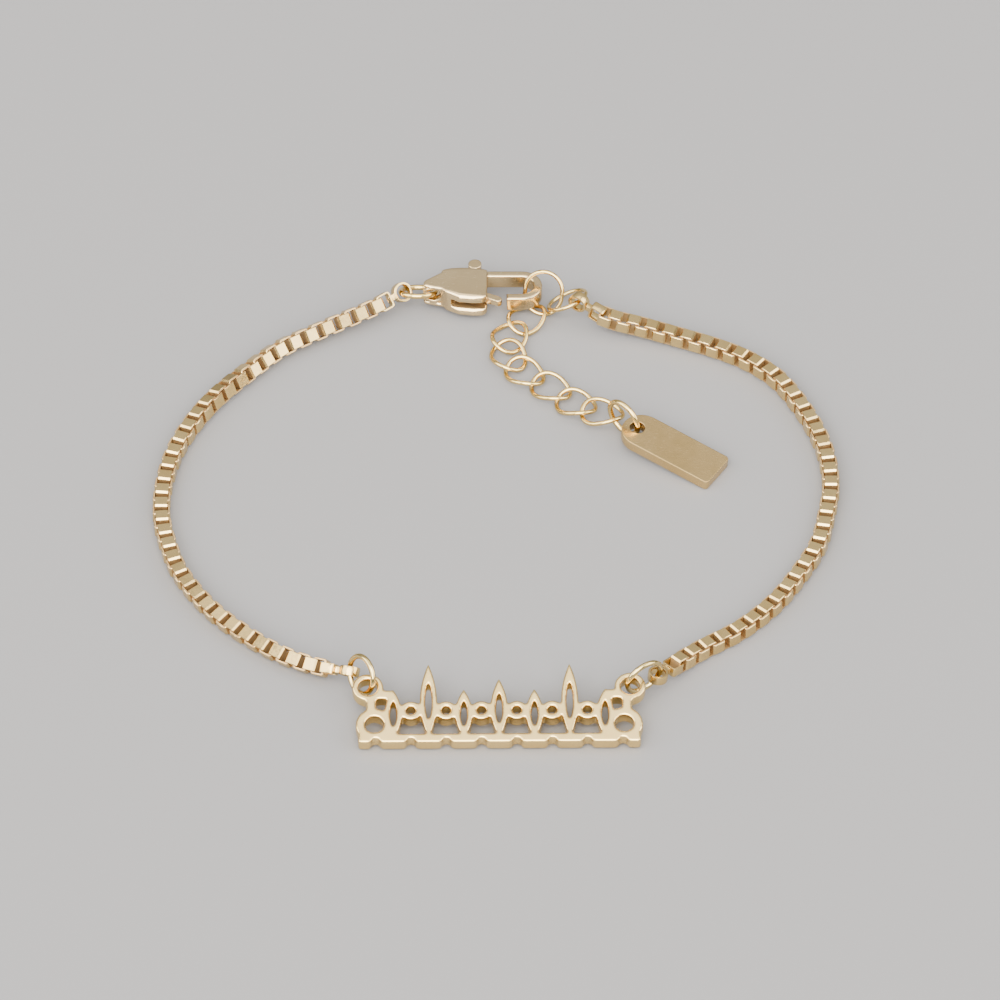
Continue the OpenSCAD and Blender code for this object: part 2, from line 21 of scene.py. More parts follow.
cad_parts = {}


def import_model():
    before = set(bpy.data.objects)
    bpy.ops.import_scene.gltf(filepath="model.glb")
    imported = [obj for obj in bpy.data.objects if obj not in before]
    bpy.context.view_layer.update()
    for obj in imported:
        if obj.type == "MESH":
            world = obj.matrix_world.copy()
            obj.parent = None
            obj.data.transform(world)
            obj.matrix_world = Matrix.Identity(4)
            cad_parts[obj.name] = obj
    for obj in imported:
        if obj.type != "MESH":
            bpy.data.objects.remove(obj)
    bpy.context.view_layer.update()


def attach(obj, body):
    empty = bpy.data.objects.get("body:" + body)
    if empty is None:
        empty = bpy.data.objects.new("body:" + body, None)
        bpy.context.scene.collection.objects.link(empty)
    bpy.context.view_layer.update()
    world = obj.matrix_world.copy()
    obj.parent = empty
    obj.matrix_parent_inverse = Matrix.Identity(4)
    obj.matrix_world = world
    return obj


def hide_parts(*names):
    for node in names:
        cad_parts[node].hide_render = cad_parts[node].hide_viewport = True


LOG = logging.getLogger("bracelet")
MM = 0.001
# Corners of a mesh that are closer than this are one corner
MERGE_DISTANCE = 0.0005 * MM
# Faces that meet at less than this angle, in degrees, are one flat face
FLAT_ANGLE = 0.6


class Body(Enum):
    """Rigid bodies of the bracelet."""

    BRACELET = "bracelet"
    LEVER = "lever"


class Half(Enum):
    """Halves of the chain, left and right of the plate."""

    LEFT = "left"
    RIGHT = "right"


class Slot(Enum):
    """Material slots of the record."""

    GOLD = "gold"
    PLATE = "plate_gold"
    SATIN = "satin_gold"


@dataclass(frozen=True)
class GoldFinish:
    """A gold plating with its polish.

    Attributes:
        name: Name of the material.
        slot: Record slot that the finish belongs to; not used.
        pale: Colour of the plating where it is cleanest.
        warm: Colour of the plating in its duller patches.
        polish: Lowest and highest roughness over the surface.
        patch: Size of the colour patches, in metres.
        grain: Size of the polishing marks along each axis, in metres.
        relief: Height of the polishing marks, in metres.
    """

    name: str
    slot: Slot
    pale: tuple[float, float, float]
    warm: tuple[float, float, float]
    polish: tuple[float, float]
    patch: float
    grain: tuple[float, float, float]
    relief: float

    def material(self) -> bpy.types.Material:
        """Makes the material, or finds it if it is made already.

        Returns:
            The material of this finish.
        """
        found = bpy.data.materials.get(self.name)
        if found is not None:
            return found
        material = bpy.data.materials.new(self.name)
        material.use_nodes = True
        tree = material.node_tree
        shader = tree.nodes["Principled BSDF"]
        shader.inputs["Metallic"].default_value = 1.0
        place = tree.nodes.new("ShaderNodeTexCoord")
        self._colour(tree, place, shader)
        self._marks(tree, place, shader)
        return material

    def _colour(
        self,
        tree: bpy.types.NodeTree,
        place: bpy.types.Node,
        shader: bpy.types.Node,
    ) -> None:
        """Adds the soft patches of paler and warmer plating.

        Args:
            tree: Node tree of the material.
            place: Texture coordinate node.
            shader: Surface shader.
        """
        cloud = tree.nodes.new("ShaderNodeTexNoise")
        cloud.inputs["Scale"].default_value = 1 / self.patch
        cloud.inputs["Detail"].default_value = 3.0
        ramp = tree.nodes.new("ShaderNodeValToRGB")
        ramp.color_ramp.elements[0].position = 0.3
        ramp.color_ramp.elements[0].color = (*self.warm, 1.0)
        ramp.color_ramp.elements[1].position = 0.65
        ramp.color_ramp.elements[1].color = (*self.pale, 1.0)
        tree.links.new(place.outputs["Object"], cloud.inputs["Vector"])
        tree.links.new(cloud.outputs["Fac"], ramp.inputs["Fac"])
        tree.links.new(ramp.outputs["Color"], shader.inputs["Base Color"])

    def _marks(
        self,
        tree: bpy.types.NodeTree,
        place: bpy.types.Node,
        shader: bpy.types.Node,
    ) -> None:
        """Adds the polishing marks, as roughness and as a faint relief.

        Args:
            tree: Node tree of the material.
            place: Texture coordinate node.
            shader: Surface shader.
        """
        stretch = tree.nodes.new("ShaderNodeMapping")
        stretch.inputs["Scale"].default_value = tuple(1 / size for size in self.grain)
        marks = tree.nodes.new("ShaderNodeTexNoise")
        marks.inputs["Scale"].default_value = 1.0
        marks.inputs["Detail"].default_value = 4.0
        span = tree.nodes.new("ShaderNodeMapRange")
        span.inputs["From Min"].default_value = 0.3
        span.inputs["From Max"].default_value = 0.7
        span.inputs["To Min"].default_value = self.polish[0]
        span.inputs["To Max"].default_value = self.polish[1]
        relief = tree.nodes.new("ShaderNodeBump")
        relief.inputs["Strength"].default_value = 1.0
        relief.inputs["Distance"].default_value = self.relief
        tree.links.new(place.outputs["Object"], stretch.inputs["Vector"])
        tree.links.new(stretch.outputs["Vector"], marks.inputs["Vector"])
        tree.links.new(marks.outputs["Fac"], span.inputs["Value"])
        tree.links.new(span.outputs["Result"], shader.inputs["Roughness"])
        tree.links.new(marks.outputs["Fac"], relief.inputs["Height"])
        tree.links.new(relief.outputs["Normal"], shader.inputs["Normal"])


WIRE_GOLD = GoldFinish(
    name="polished_wire_gold",
    slot=Slot.GOLD,
    pale=(0.78, 0.56, 0.21),
    warm=(0.7, 0.49, 0.16),
    polish=(0.12, 0.2),
    patch=2.5 * MM,
    grain=(0.2 * MM, 0.2 * MM, 0.2 * MM),
    relief=0.0006 * MM,
)
CHAIN_GOLD = GoldFinish(
    name="polished_chain_gold",
    slot=Slot.GOLD,
    pale=(0.73, 0.53, 0.225),
    warm=(0.65, 0.45, 0.17),
    polish=(0.16, 0.26),
    patch=3 * MM,
    grain=(0.25 * MM, 0.25 * MM, 0.25 * MM),
    relief=0.0008 * MM,
)
# Rough inside of the box links, with a darker colour that is painted shade in the
# links' hollows and across their ends.
BAND_GOLD = GoldFinish(
    name="rough_band_gold_painted_shade",
    slot=Slot.GOLD,
    pale=(0.6, 0.41, 0.19),
    warm=(0.5, 0.32, 0.14),
    polish=(0.5, 0.62),
    patch=2 * MM,
    grain=(0.15 * MM, 0.15 * MM, 0.15 * MM),
    relief=0.002 * MM,
)
TAG_GOLD = GoldFinish(
    name="brushed_tag_gold",
    slot=Slot.SATIN,
    pale=(0.66, 0.46, 0.2),
    warm=(0.6, 0.41, 0.165),
    polish=(0.18, 0.28),
    patch=3 * MM,
    grain=(0.6 * MM, 0.06 * MM, 0.06 * MM),
    relief=0.0008 * MM,
)
# Painted shade: a dark, rough gold on the walls that face each other inside the clasp's
# slot.
SLOT_GOLD = GoldFinish(
    name="shaded_slot_gold",
    slot=Slot.SATIN,
    pale=(0.34, 0.22, 0.1),
    warm=(0.26, 0.16, 0.07),
    polish=(0.5, 0.62),
    patch=1 * MM,
    grain=(0.2 * MM, 0.2 * MM, 0.2 * MM),
    relief=0.002 * MM,
)
RING_GOLD = GoldFinish(
    name="old_ring_gold",
    slot=Slot.GOLD,
    pale=(0.66, 0.5, 0.22),
    warm=(0.56, 0.42, 0.16),
    polish=(0.1, 0.18),
    patch=2 * MM,
    grain=(0.3 * MM, 0.3 * MM, 0.3 * MM),
    relief=0.001 * MM,
)
PLATE_GOLD = GoldFinish(
    name="soft_plate_gold",
    slot=Slot.PLATE,
    pale=(0.84, 0.61, 0.25),
    warm=(0.77, 0.54, 0.2),
    polish=(0.2, 0.27),
    patch=4 * MM,
    grain=(0.3 * MM, 0.3 * MM, 0.3 * MM),
    relief=0.001 * MM,
)
SATIN_GOLD = GoldFinish(
    name="brushed_case_gold",
    slot=Slot.SATIN,
    pale=(0.73, 0.55, 0.3),
    warm=(0.67, 0.49, 0.25),
    polish=(0.18, 0.28),
    patch=3 * MM,
    grain=(0.5 * MM, 0.12 * MM, 0.12 * MM),
    relief=0.001 * MM,
)


@dataclass(frozen=True)
class Pose:
    """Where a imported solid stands.

    Attributes:
        middle: Middle of the solid.
        long: Direction of its longest extent.
        wide: Direction of its middle extent.
        thin: Direction of its shortest extent.
        sizes: Extents along those three directions.
    """

    middle: Vector
    long: Vector
    wide: Vector
    thin: Vector
    sizes: Vector

    @staticmethod
    def of_points(points: np.ndarray) -> Pose:
        """Reads the pose of a cloud of points.

        Args:
            points: One row of x, y and z for each point.

        Returns:
            Its pose, with a right-handed set of directions.
        """
        spread = points - points.mean(axis=0)
        _, axes = np.linalg.eigh(spread.T @ spread)
        axes = axes[:, ::-1]
        if np.linalg.det(axes) < 0:
            axes[:, 2] *= -1
        along = points @ axes
        low, high = along.min(axis=0), along.max(axis=0)
        return Pose(
            middle=Vector(axes @ ((low + high) / 2)),
            long=Vector(axes[:, 0]),
            wide=Vector(axes[:, 1]),
            thin=Vector(axes[:, 2]),
            sizes=Vector(high - low),
        )

    def matrix(self) -> Matrix:
        """Returns the turn and shift from a shape at the origin to this pose."""
        turn = Matrix((self.long, self.wide, self.thin)).transposed()
        return Matrix.Translation(self.middle) @ turn.to_4x4()

    def facing(self, way: Vector) -> Pose:
        """Returns this pose turned about its thin direction to follow a way.

        Args:
            way: Direction that its long side has to follow.

        Returns:
            The turned pose.
        """
        long = (way - way.dot(self.thin) * self.thin).normalized()
        return replace(self, long=long, wide=self.thin.cross(long))


def merged_copy(node: str) -> bmesh.types.BMesh:
    """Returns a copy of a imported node's mesh with its triangles joined up.

    Args:
        node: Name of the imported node.

    Returns:
        The copy, in the frame's place.
    """
    bm = bmesh.new()
    bm.from_mesh(bpy.data.objects[node].data)
    bmesh.ops.remove_doubles(bm, verts=bm.verts, dist=MERGE_DISTANCE)
    return bm


def flat_faced(node: str) -> bmesh.types.BMesh:
    """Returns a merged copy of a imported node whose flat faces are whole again.

    Args:
        node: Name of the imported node.

    Returns:
        The copy, in the frame's place.
    """
    bm = merged_copy(node)
    bmesh.ops.dissolve_limit(
        bm,
        angle_limit=math.radians(FLAT_ANGLE),
        use_dissolve_boundaries=False,
        verts=bm.verts,
        edges=bm.edges,
    )
    return bm


def node_pose(node: str) -> Pose:
    """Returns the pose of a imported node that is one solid.

    Args:
        node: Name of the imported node.

    Returns:
        Its pose.
    """
    bm = merged_copy(node)
    pose = Pose.of_points(np.array([vert.co[:] for vert in bm.verts]))
    bm.free()
    return pose


def loose_parts(bm: bmesh.types.BMesh) -> list[np.ndarray]:
    """Returns the points of each loose solid in a mesh.

    Args:
        bm: Mesh with its doubles merged.

    Returns:
        One array of points for each solid.
    """
    left = set(bm.verts)
    parts = []
    while left:
        queue = [left.pop()]
        for vert in queue:
            for edge in vert.link_edges:
                other = edge.other_vert(vert)
                if other in left:
                    left.remove(other)
                    queue.append(other)
        parts.append(np.array([vert.co[:] for vert in queue]))
    return parts


def chain_order(parts: list[np.ndarray]) -> list[np.ndarray]:
    """Sorts the solids of a chain from one end to the other.

    Args:
        parts: Points of each solid, in any order.

    Returns:
        The same arrays in the order of the chain.
    """
    middles = [part.mean(axis=0) for part in parts]
    everywhere = np.array(middles).mean(axis=0)
    here = max(range(len(parts)), key=lambda i: np.linalg.norm(middles[i] - everywhere))
    for _ in range(2):
        order = [here]
        left = set(range(len(parts))) - {here}
        while left:
            here = min(left, key=lambda i: np.linalg.norm(middles[i] - middles[here]))
            left.remove(here)
            order.append(here)
    return [parts[i] for i in order]


def sharp_edges(
    bm: bmesh.types.BMesh,
    least: float,
    keep: Callable[[bmesh.types.BMEdge], bool] = lambda edge: True,
) -> list[bmesh.types.BMEdge]:
    """Finds the edges where two faces meet at an angle.

    Args:
        bm: Mesh to search.
        least: Smallest angle between the faces' normals, in degrees.
        keep: Further test that an edge has to pass.

    Returns:
        The edges found.
    """
    return [
        edge
        for edge in bm.edges
        if len(edge.link_faces) == 2
        and edge.calc_face_angle(0.0) > math.radians(least)
        and keep(edge)
    ]


def rounded(
    bm: bmesh.types.BMesh,
    edges: Iterable[bmesh.types.BMEdge],
    width: float,
    steps: int,
) -> None:
    """Rounds edges, or cuts them to a flat where there is one step.

    Args:
        bm: Mesh to change.
        edges: Edges to round.
        width: Distance from the old edge to each new border, in metres.
        steps: Faces across the rounding.
    """
    bmesh.ops.bevel(
        bm,
        geom=list(edges),
        offset=width,
        offset_type="OFFSET",
        segments=steps,
        profile=0.5,
        affect="EDGES",
        material=-1,
        clamp_overlap=False,
    )


@dataclass
class Jeweller:
    """Turns finished meshes into pieces of the bracelet.

    Attributes:
        body: Rigid body that the pieces move with.
    """

    body: Body = Body.BRACELET

    def piece(
        self,
        bm: bmesh.types.BMesh,
        name: str,
        finish: GoldFinish,
        nodes: Iterable[str],
        smooth: float = 35.0,
        inside: GoldFinish | None = None,
    ) -> bpy.types.Object:
        """Makes an object from a mesh, dresses it and puts it in place of nodes.

        Args:
            bm: Finished mesh, in place; it is freed.
            name: Name of the piece.
            finish: Its gold finish.
            nodes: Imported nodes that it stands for.
            smooth: Largest angle between faces that still looks smooth.
            inside: Finish of the faces whose material index is 1, if any.

        Returns:
            The new object.
        """
        mesh = bpy.data.meshes.new(name)
        for face in bm.faces:
            face.smooth = True
        for edge in bm.edges:
            edge.smooth = edge.calc_face_angle(0.0) < math.radians(smooth)
        bm.to_mesh(mesh)
        bm.free()
        obj = bpy.data.objects.new(name, mesh)
        bpy.context.scene.collection.objects.link(obj)
        mesh.materials.append(finish.material())
        if inside is not None:
            mesh.materials.append(inside.material())
        evener = obj.modifiers.new("even_shading", "WEIGHTED_NORMAL")
        evener.keep_sharp = True
        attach(obj, self.body.value)
        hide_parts(*nodes)
        LOG.info("%s: %d faces", name, len(mesh.polygons))
        return obj


@dataclass
class RoundedSolid(Jeweller):
    """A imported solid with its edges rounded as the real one's are.

    Attributes:
        edge_width: Width of the rounding, in metres.
        edge_steps: Faces across the rounding.
        least_angle: Smallest angle of an edge that is rounded, in degrees.
    """

    edge_width: float = 0.08 * MM
    edge_steps: int = 2
    least_angle: float = 28.0

    def build(self, node: str, name: str, finish: GoldFinish) -> bpy.types.Object:
        """Builds the dressed copy of one node.

        Args:
            node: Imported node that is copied.
            name: Name of the new piece.
            finish: Its gold finish.

        Returns:
            The new object.
        """
        bm = flat_faced(node)
        rounded(bm, sharp_edges(bm, self.least_angle), self.edge_width, self.edge_steps)
        return self.piece(bm, name, finish, [node])


@dataclass
class CastSolid(Jeweller):
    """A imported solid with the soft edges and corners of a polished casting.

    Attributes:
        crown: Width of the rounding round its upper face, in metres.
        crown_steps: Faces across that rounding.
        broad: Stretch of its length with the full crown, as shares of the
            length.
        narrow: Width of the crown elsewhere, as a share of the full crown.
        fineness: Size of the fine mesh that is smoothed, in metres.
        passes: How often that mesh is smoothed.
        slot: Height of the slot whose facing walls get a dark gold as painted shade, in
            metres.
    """

    crown: float = 0.0
    crown_steps: int = 4
    broad: tuple[float, float] = (0.0, 1.0)
    narrow: float = 1 / 3
    fineness: float = 0.045 * MM
    passes: int = 7
    slot: float = 0.0

    def build(
        self, node: str, name: str, finish: GoldFinish, lie: Matrix
    ) -> bpy.types.Object:
        """Builds the soft copy of one node.

        Args:
            node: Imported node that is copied.
            name: Name of the new piece.
            finish: Its gold finish.
            lie: Turn that the solid has in the bracelet; without it the
                upper face looks along Z.

        Returns:
            The new object.
        """
        bm = flat_faced(node)
        bmesh.ops.transform(bm, matrix=lie.inverted(), verts=bm.verts)
        if self.crown > 0:
            self._crown(bm)
        bm = self._fine(bm)
        for _ in range(self.passes):
            bmesh.ops.smooth_vert(
                bm,
                verts=bm.verts,
                factor=0.5,
                use_axis_x=True,
                use_axis_y=True,
                use_axis_z=True,
            )
        inside = None
        # The slot's facing walls get the dark gold of painted shade.
        if self.slot > 0:
            inside = SLOT_GOLD
            self._mark_slot(bm)
        bmesh.ops.transform(bm, matrix=lie, verts=bm.verts)
        return self.piece(bm, name, finish, [node], smooth=180.0, inside=inside)

    def _mark_slot(self, bm: bmesh.types.BMesh) -> None:
        """Marks the level faces that look at another one across the slot, for painted
        shade.

        Args:
            bm: Mesh to mark; the faces found get the material index 1.
        """
        level = 0.5
        lift = 0.02 * MM
        bm.normal_update()
        tree = BVHTree.FromBMesh(bm)
        for face in bm.faces:
            if abs(face.normal.z) < level:
                continue
            start = face.calc_center_median() + lift * face.normal
            hit = tree.ray_cast(start, face.normal, self.slot)
            face.material_index = int(hit[0] is not None)

    def _crown(self, bm: bmesh.types.BMesh) -> None:
        """Rounds the rim of the upper face, most of all on the broad stretch.

        Args:
            bm: Mesh to change, its upper face along Z.
        """
        places = [vert.co.x for vert in bm.verts]
        low, high = min(places), max(places)
        start, end = (low + share * (high - low) for share in self.broad)
        rim = [edge for edge in bm.edges if self._on_rim(edge)]
        broad = [
            edge
            for edge in rim
            if start < (edge.verts[0].co.x + edge.verts[1].co.x) / 2 < end
        ]
        rounded(bm, broad, self.crown, self.crown_steps)
        rest = [edge for edge in bm.edges if self._on_rim(edge)]
        rounded(bm, rest, self.narrow * self.crown, self.crown_steps)

    @staticmethod
    def _on_rim(edge: bmesh.types.BMEdge) -> bool:
        """Tells whether an edge lies between the upper face and a side.

        Args:
            edge: Edge of the solid, its upper face along Z.

        Returns:
            True for an edge of the upper face's rim.
        """
        if len(edge.link_faces) != 2:
            return False
        low, high = sorted(face.normal.z for face in edge.link_faces)
        top, side = high > 0.99, abs(low) < 0.1
        return top and side and edge.is_convex

    def _fine(self, bm: bmesh.types.BMesh) -> bmesh.types.BMesh:
        """Rebuilds a mesh from small even faces.

        Args:
            bm: Closed mesh; it is freed.

        Returns:
            The fine mesh.
        """
        mesh = bpy.data.meshes.new("casting")
        bmesh.ops.triangulate(bm, faces=bm.faces)
        bm.to_mesh(mesh)
        bm.free()
        holder = bpy.data.objects.new("casting", mesh)
        bpy.context.scene.collection.objects.link(holder)
        remesh = holder.modifiers.new("fine", "REMESH")
        remesh.mode = "VOXEL"
        remesh.voxel_size = self.fineness
        graph = bpy.context.evaluated_depsgraph_get()
        fine = bpy.data.meshes.new_from_object(holder.evaluated_get(graph))
        bpy.data.objects.remove(holder)
        bpy.data.meshes.remove(mesh)
        bm = bmesh.new()
        bm.from_mesh(fine)
        bpy.data.meshes.remove(fine)
        return bm


@dataclass
class JumpRing(Jeweller):
    """A round ring of round wire.

    Attributes:
        turns: Steps round the ring.
        sides: Steps round the wire.
    """

    turns: int = 56
    sides: int = 14

    def build(self, node: str, name: str, finish: GoldFinish) -> bpy.types.Object:
        """Builds the ring in place of one node.

        Args:
            node: Packed ring.
            name: Name of the new piece.
            finish: Its gold finish.

        Returns:
            The new object.
        """
        pose = node_pose(node)
        wire = pose.sizes.z
        middle_radius = (pose.sizes.x - wire) / 2
        bm = bmesh.new()
        bmesh.ops.create_circle(bm, segments=self.sides, radius=wire / 2)
        upright = Matrix.Rotation(math.pi / 2, 3, "X")
        bmesh.ops.rotate(bm, verts=bm.verts, matrix=upright)
        bmesh.ops.translate(bm, verts=bm.verts, vec=(middle_radius, 0, 0))
        bmesh.ops.spin(
            bm,
            geom=bm.edges[:] + bm.verts[:],
            cent=(0, 0, 0),
            axis=(0, 0, 1),
            angle=2 * math.pi,
            steps=self.turns,
            use_merge=True,
        )
        bmesh.ops.remove_doubles(bm, verts=bm.verts, dist=MERGE_DISTANCE)
        bmesh.ops.recalc_face_normals(bm, faces=bm.faces)
        bmesh.ops.transform(bm, matrix=pose.matrix(), verts=bm.verts)
        return self.piece(bm, name, finish, [node])


@dataclass
class WireLoop(Jeweller):
    """A closed loop of round wire that isn't a plain circle.

    Attributes:
        points: Points along the loop.
        sides: Steps round the wire, an even number of four or more.
    """

    points: int = 72
    sides: int = 14

    def swept(
        self, path: Callable[[float], Vector], wire: float, pose: Pose
    ) -> bmesh.types.BMesh:
        """Sweeps round wire along a closed path.

        Args:
            path: Gives the path's point at an angle, in the loop's own frame.
            wire: Diameter of the wire, in metres.
            pose: Where the loop stands.

        Returns:
            The mesh of the wire, in place.
        """
        curve = bpy.data.curves.new("wire", "CURVE")
        curve.dimensions = "3D"
        curve.bevel_depth = wire / 2
        curve.bevel_resolution = (self.sides - 4) // 2
        spline = curve.splines.new("POLY")
        spline.points.add(self.points - 1)
        for i, point in enumerate(spline.points):
            point.co = (*path(2 * math.pi * i / self.points), 1.0)
        spline.use_cyclic_u = True
        holder = bpy.data.objects.new("wire", curve)
        bpy.context.scene.collection.objects.link(holder)
        mesh = bpy.data.meshes.new_from_object(holder)
        bpy.data.objects.remove(holder)
        bpy.data.curves.remove(curve)
        bm = bmesh.new()
        bm.from_mesh(mesh)
        bpy.data.meshes.remove(mesh)
        bmesh.ops.remove_doubles(bm, verts=bm.verts, dist=MERGE_DISTANCE)
        bmesh.ops.recalc_face_normals(bm, faces=bm.faces)
        bmesh.ops.transform(bm, matrix=pose.matrix(), verts=bm.verts)
        return bm


@dataclass
class CurbLink(WireLoop):
    """An oval link whose sides dip and rise, as in a curb chain.

    Attributes:
        length: Outer length.
        width: Outer width.
        wire: Diameter of the wire.
        twist: How far the sides dip and rise.
    """

    length: float = 3.8 * MM
    width: float = 3.1 * MM
    wire: float = 0.37 * MM
    twist: float = 0.3 * MM

    def build(self, node: str, name: str, finish: GoldFinish) -> bpy.types.Object:
        """Builds the link in place of one node.

        Args:
            node: Packed link.
            name: Name of the new piece.
            finish: Its gold finish.

        Returns:
            The new object.
        """

        def path(angle: float) -> Vector:
            """Returns the middle of the wire.

            Args:
                angle: Angle round the loop, in radians.

            Returns:
                The point in the loop's own frame.
            """
            return Vector(
                (
                    (self.length - self.wire) / 2 * math.cos(angle),
                    (self.width - self.wire) / 2 * math.sin(angle),
                    -self.twist * math.sin(2 * angle),
                )
            )

        bm = self.swept(path, self.wire, node_pose(node))
        return self.piece(bm, name, finish, [node])


@dataclass
class OvalRing(WireLoop):
    """A ring of two half circles joined by straight stretches.

    Attributes:
        wire: Diameter of the wire.
    """

    wire: float = 0.34 * MM

    def build(self, node: str, name: str, finish: GoldFinish) -> bpy.types.Object:
        """Builds the ring in place of one node.

        Args:
            node: Packed ring.
            name: Name of the new piece.
            finish: Its gold finish.

        Returns:
            The new object.
        """
        pose = node_pose(node)
        radius = (pose.sizes.y - self.wire) / 2
        straight = pose.sizes.x - pose.sizes.y

        def path(angle: float) -> Vector:
            """Returns the middle of the wire.

            Args:
                angle: Angle round the loop, in radians.

            Returns:
                The point in the loop's own frame.
            """
            shift = math.copysign(straight / 2, math.cos(angle))
            return Vector(
                (radius * math.cos(angle) + shift, radius * math.sin(angle), 0)
            )

        bm = self.swept(path, self.wire, pose)
        return self.piece(bm, name, finish, [node])


@dataclass
class BoxChain(Jeweller):
    """A chain of flat bands, each bent into a closed box across the last.

    Attributes:
        length: Outer length of a link.
        width: Outer width of a link, across the chain.
        band: Width of the band that a link is bent from.
        thickness: Thickness of the band.
        corner: Length that the flat across each corner takes off either side.
        glint: Width of the flat along the band's outer borders.
    """

    length: float = 1.12 * MM
    width: float = 1.4 * MM
    band: float = 1.02 * MM
    thickness: float = 0.13 * MM
    corner: float = 0.12 * MM
    glint: float = 0.035 * MM

    def link(self) -> bmesh.types.BMesh:
        """Makes one link at the origin, its length along X and its band across Z.

        Returns:
            The link; its rough inner and end faces, darkened as painted shade, have the
            material index 1.
        """
        bm = bmesh.new()
        bmesh.ops.create_cube(bm, size=1.0)
        bmesh.ops.scale(
            bm,
            verts=bm.verts,
            vec=(
                self.length - self.thickness,
                self.width - self.thickness,
                self.band,
            ),
        )
        ends = [face for face in bm.faces if abs(face.normal.z) > 0.5]
        bmesh.ops.delete(bm, geom=ends, context="FACES_ONLY")
        corners = [
            edge
            for edge in bm.edges
            if abs(edge.verts[0].co.z - edge.verts[1].co.z) > self.band / 2
        ]
        rounded(bm, corners, self.corner, 1)
        bmesh.ops.recalc_face_normals(bm, faces=bm.faces)
        bmesh.ops.solidify(bm, geom=bm.faces[:], thickness=self.thickness)
        self._fit(bm)
        borders = sharp_edges(bm, least=60.0, keep=self._on_border)
        rounded(bm, borders, self.glint, 1)
        # Faces inside and across the ends get the rough gold with painted shade.
        for face in bm.faces:
            face.material_index = int(self._rough_and_shaded(face))
        return bm

    def _fit(self, bm: bmesh.types.BMesh) -> None:
        """Scales the walled loop to the link's outer length and width.

        Args:
            bm: Walled loop at the origin.
        """
        extent = [
            max(vert.co[axis] for vert in bm.verts)
            - min(vert.co[axis] for vert in bm.verts)
            for axis in range(2)
        ]
        fit = (self.length / extent[0], self.width / extent[1], 1.0)
        bmesh.ops.scale(bm, verts=bm.verts, vec=fit)

    def _within(self, point: Vector) -> bool:
        """Tells whether a point lies inside the loop, short of its outer side.

        Args:
            point: Point in the link's own frame.

        Returns:
            True within the outer side of the wall.
        """
        depth = 0.6 * self.thickness
        return (
            abs(point.x) < self.length / 2 - depth
            and abs(point.y) < self.width / 2 - depth
        )

    def _on_border(self, edge: bmesh.types.BMEdge) -> bool:
        """Tells whether an edge lies on the outer border of the band.

        Args:
            edge: Edge of the walled loop.

        Returns:
            True where the band's outer side ends.
        """
        first, second = (vert.co for vert in edge.verts)
        half = self.band / 2 - 0.01 * MM
        at_rim = abs(first.z) > half and abs(second.z) > half
        return at_rim and not self._within((first + second) / 2)

    def _rough_and_shaded(self, face: bmesh.types.BMFace) -> bool:
        """Returns whether a face is inside the link or across its end, where it is
        rough and darkened as painted shade.
        """
        across_end = abs(face.normal.x) > 0.95
        return across_end or self._within(face.calc_center_median())

    def build(self, node: str, name: str, finish: GoldFinish) -> bpy.types.Object:
        """Builds every link of one half of the chain.

        Args:
            node: Packed half of the chain.
            name: Name of the new piece.
            finish: Its gold finish.

        Returns:
            The new object.
        """
        packed = merged_copy(node)
        poses = [Pose.of_points(part) for part in chain_order(loose_parts(packed))]
        packed.free()
        link = self.link()
        pattern = bpy.data.meshes.new("link")
        link.to_mesh(pattern)
        link.free()
        bm = bmesh.new()
        for i, pose in enumerate(poses):
            before, after = poses[max(i - 1, 0)], poses[min(i + 1, len(poses) - 1)]
            place = pose.facing(after.middle - before.middle).matrix()
            start = len(bm.verts)
            bm.from_mesh(pattern)
            bm.verts.ensure_lookup_table()
            bmesh.ops.transform(bm, matrix=place, verts=bm.verts[start:])
        bpy.data.meshes.remove(pattern)
        return self.piece(bm, name, finish, [node], inside=BAND_GOLD)


@dataclass(frozen=True)
class Softbox:
    """A square soft light that faces the bracelet.

    Attributes:
        name: Name of the light.
        place: Its middle.
        size: Length of its sides.
        power: Its power in watts.
        colour: Its colour.
    """

    name: str
    place: tuple[float, float, float]
    size: float
    power: float
    colour: tuple[float, float, float] = (1.0, 0.99, 0.97)

    def hang(self) -> None:
        """Hangs the light in its place, unseen by the camera."""
        light = bpy.data.lights.new(self.name, "AREA")
        light.size = self.size
        light.energy = self.power
        light.color = self.colour
        holder = bpy.data.objects.new(self.name, light)
        holder.location = self.place
        holder.rotation_euler = Vector(self.place).to_track_quat("Z", "Y").to_euler()
        holder.visible_camera = False
        bpy.context.scene.collection.objects.link(holder)


SOFTBOXES = (
    Softbox("overhead", (0.0, 0.1, 0.9), 0.8, 4.4, (1.0, 0.985, 0.96)),
    Softbox("front", (-0.15, -1.05, 1.05), 1.5, 92.0),
    Softbox("left", (-1.15, -0.25, 0.75), 1.3, 32.0),
    Softbox("right", (1.15, -0.25, 0.75), 1.3, 32.0),
)


